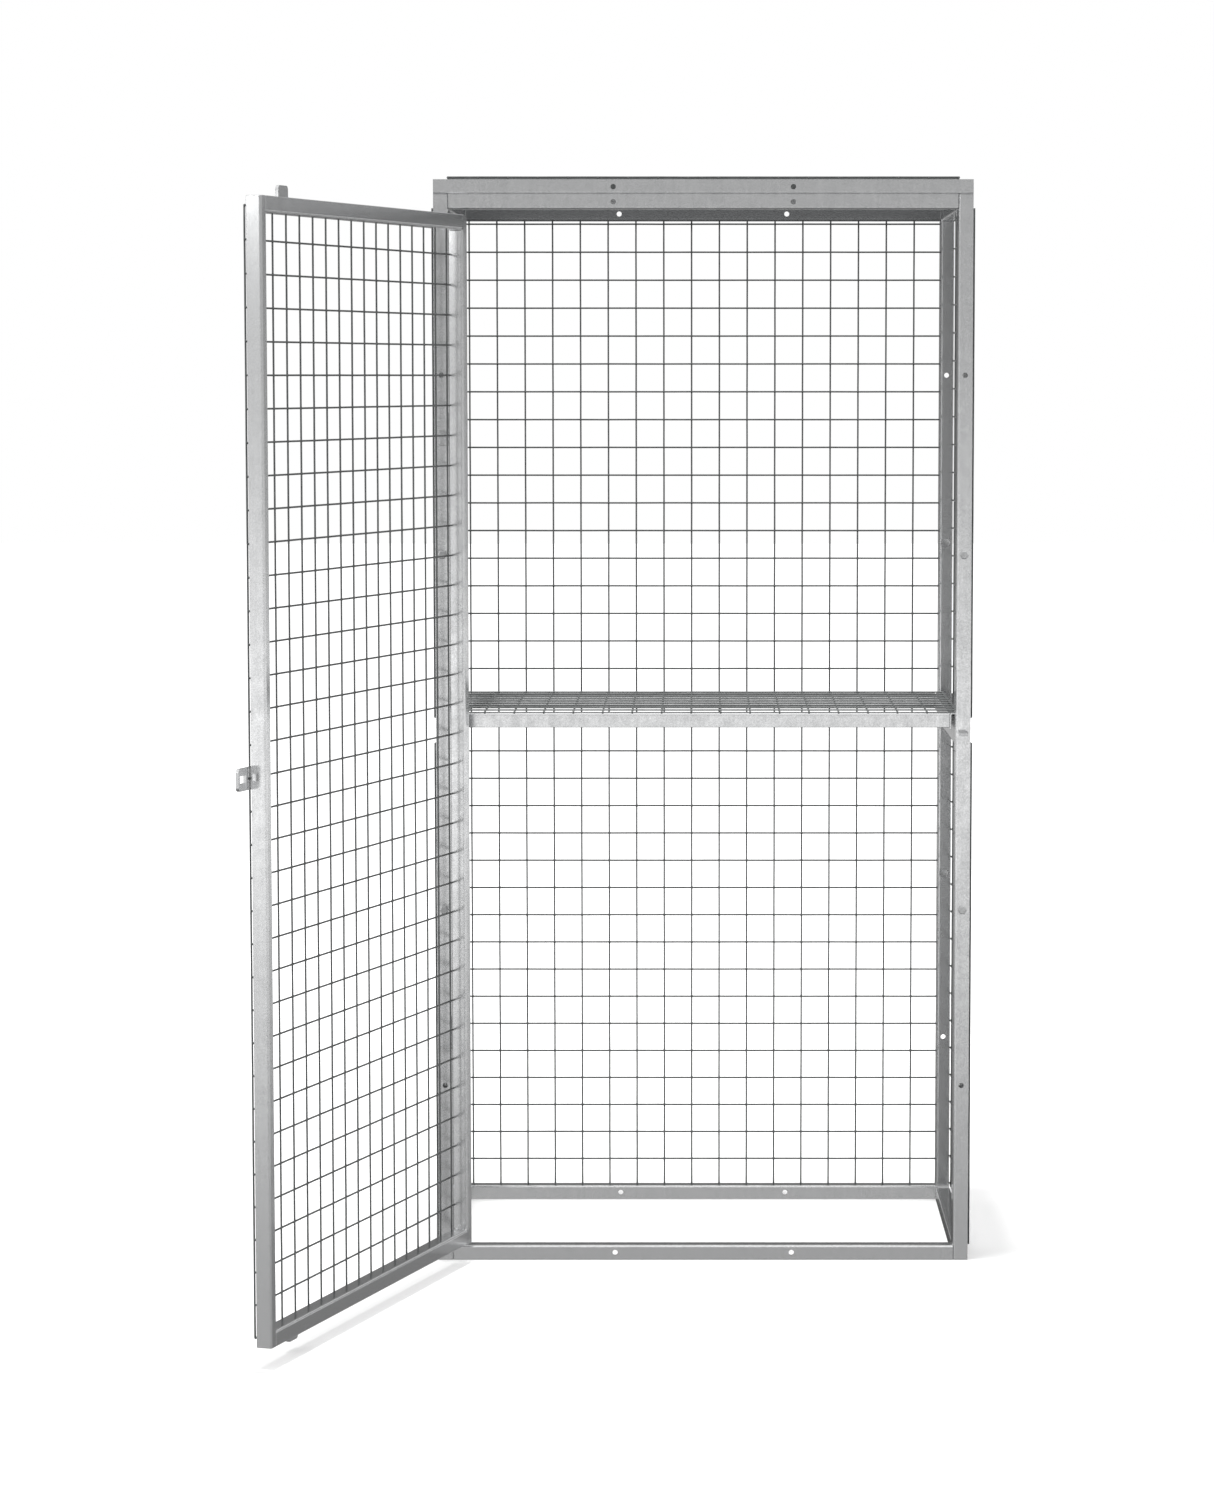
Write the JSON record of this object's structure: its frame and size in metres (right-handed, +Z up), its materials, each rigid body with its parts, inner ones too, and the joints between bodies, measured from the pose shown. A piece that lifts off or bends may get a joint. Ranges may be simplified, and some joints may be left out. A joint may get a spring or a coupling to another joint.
{
  "type": "gas cylinder cage",
  "caption": "Welded steel mesh cage for gas cylinders, with a mesh roof, a mesh shelf at mid height and one hinged mesh door with a hasp for a padlock.",
  "frame": {"origin": "centre of the frame's footprint on the ground, the open door left out", "axes": "+Z up, +X to the right seen from the front, +Y to the back; the doorway faces -Y"},
  "size_m": [1.1485, 1.3823, 1.8277],
  "materials": {
    "galvanised_angle": "bright mottled zinc",
    "galvanised_wire": "dull zinc",
    "galvanised_plate": "bright zinc",
    "zinc_bolt": "satin zinc plate"
  },
  "bodies": {
    "cage": {"front_left_upright": "galvanised_angle", "front_right_upright": "galvanised_angle", "front_header": "galvanised_angle", "front_base_rail": "galvanised_angle", "left_side_front_stile": "galvanised_angle", "left_side_rear_stile": "galvanised_angle", "left_side_top_rail": "galvanised_angle", "left_side_mid_rail": "galvanised_angle", "left_side_bottom_rail": "galvanised_angle", "left_side_upper_mesh": "galvanised_wire", "left_side_lower_mesh": "galvanised_wire", "right_side_front_stile": "galvanised_angle", "right_side_rear_stile": "galvanised_angle", "right_side_top_rail": "galvanised_angle", "right_side_mid_rail": "galvanised_angle", "right_side_bottom_rail": "galvanised_angle", "right_side_upper_mesh": "galvanised_wire", "right_side_lower_mesh": "galvanised_wire", "back_left_stile": "galvanised_angle", "back_right_stile": "galvanised_angle", "back_top_rail": "galvanised_angle", "back_bottom_rail": "galvanised_angle", "back_upper_mesh": "galvanised_wire", "back_lower_mesh": "galvanised_wire", "roof_front_rail": "galvanised_angle", "roof_rear_rail": "galvanised_angle", "roof_side_rails": "galvanised_angle", "roof_mesh": "galvanised_wire", "shelf_front_fascia": "galvanised_angle", "shelf_rear_fascia": "galvanised_angle", "shelf_side_members": "galvanised_angle", "shelf_mesh": "galvanised_wire", "front_bolts": "zinc_bolt", "rear_bolts": "zinc_bolt", "hinge_frame_knuckles": "galvanised_plate", "lock_tongue": "galvanised_plate"},
    "door": {"door_hinge_stile": "galvanised_angle", "door_free_stile": "galvanised_angle", "door_top_rail": "galvanised_angle", "door_bottom_rail": "galvanised_angle", "door_upper_mesh": "galvanised_wire", "door_lower_mesh": "galvanised_wire", "door_stop_tabs": "galvanised_plate", "door_hasp": "galvanised_plate", "hinge_door_knuckles": "galvanised_plate"}
  },
  "joints": [
    {"name": "door_hinge", "type": "hinge", "parent": "cage", "child": "door", "pos_m": [-0.418, -0.277, 0.9], "axis": [0, 0, 1], "range_deg": [-61.6, 108]}
  ]
}
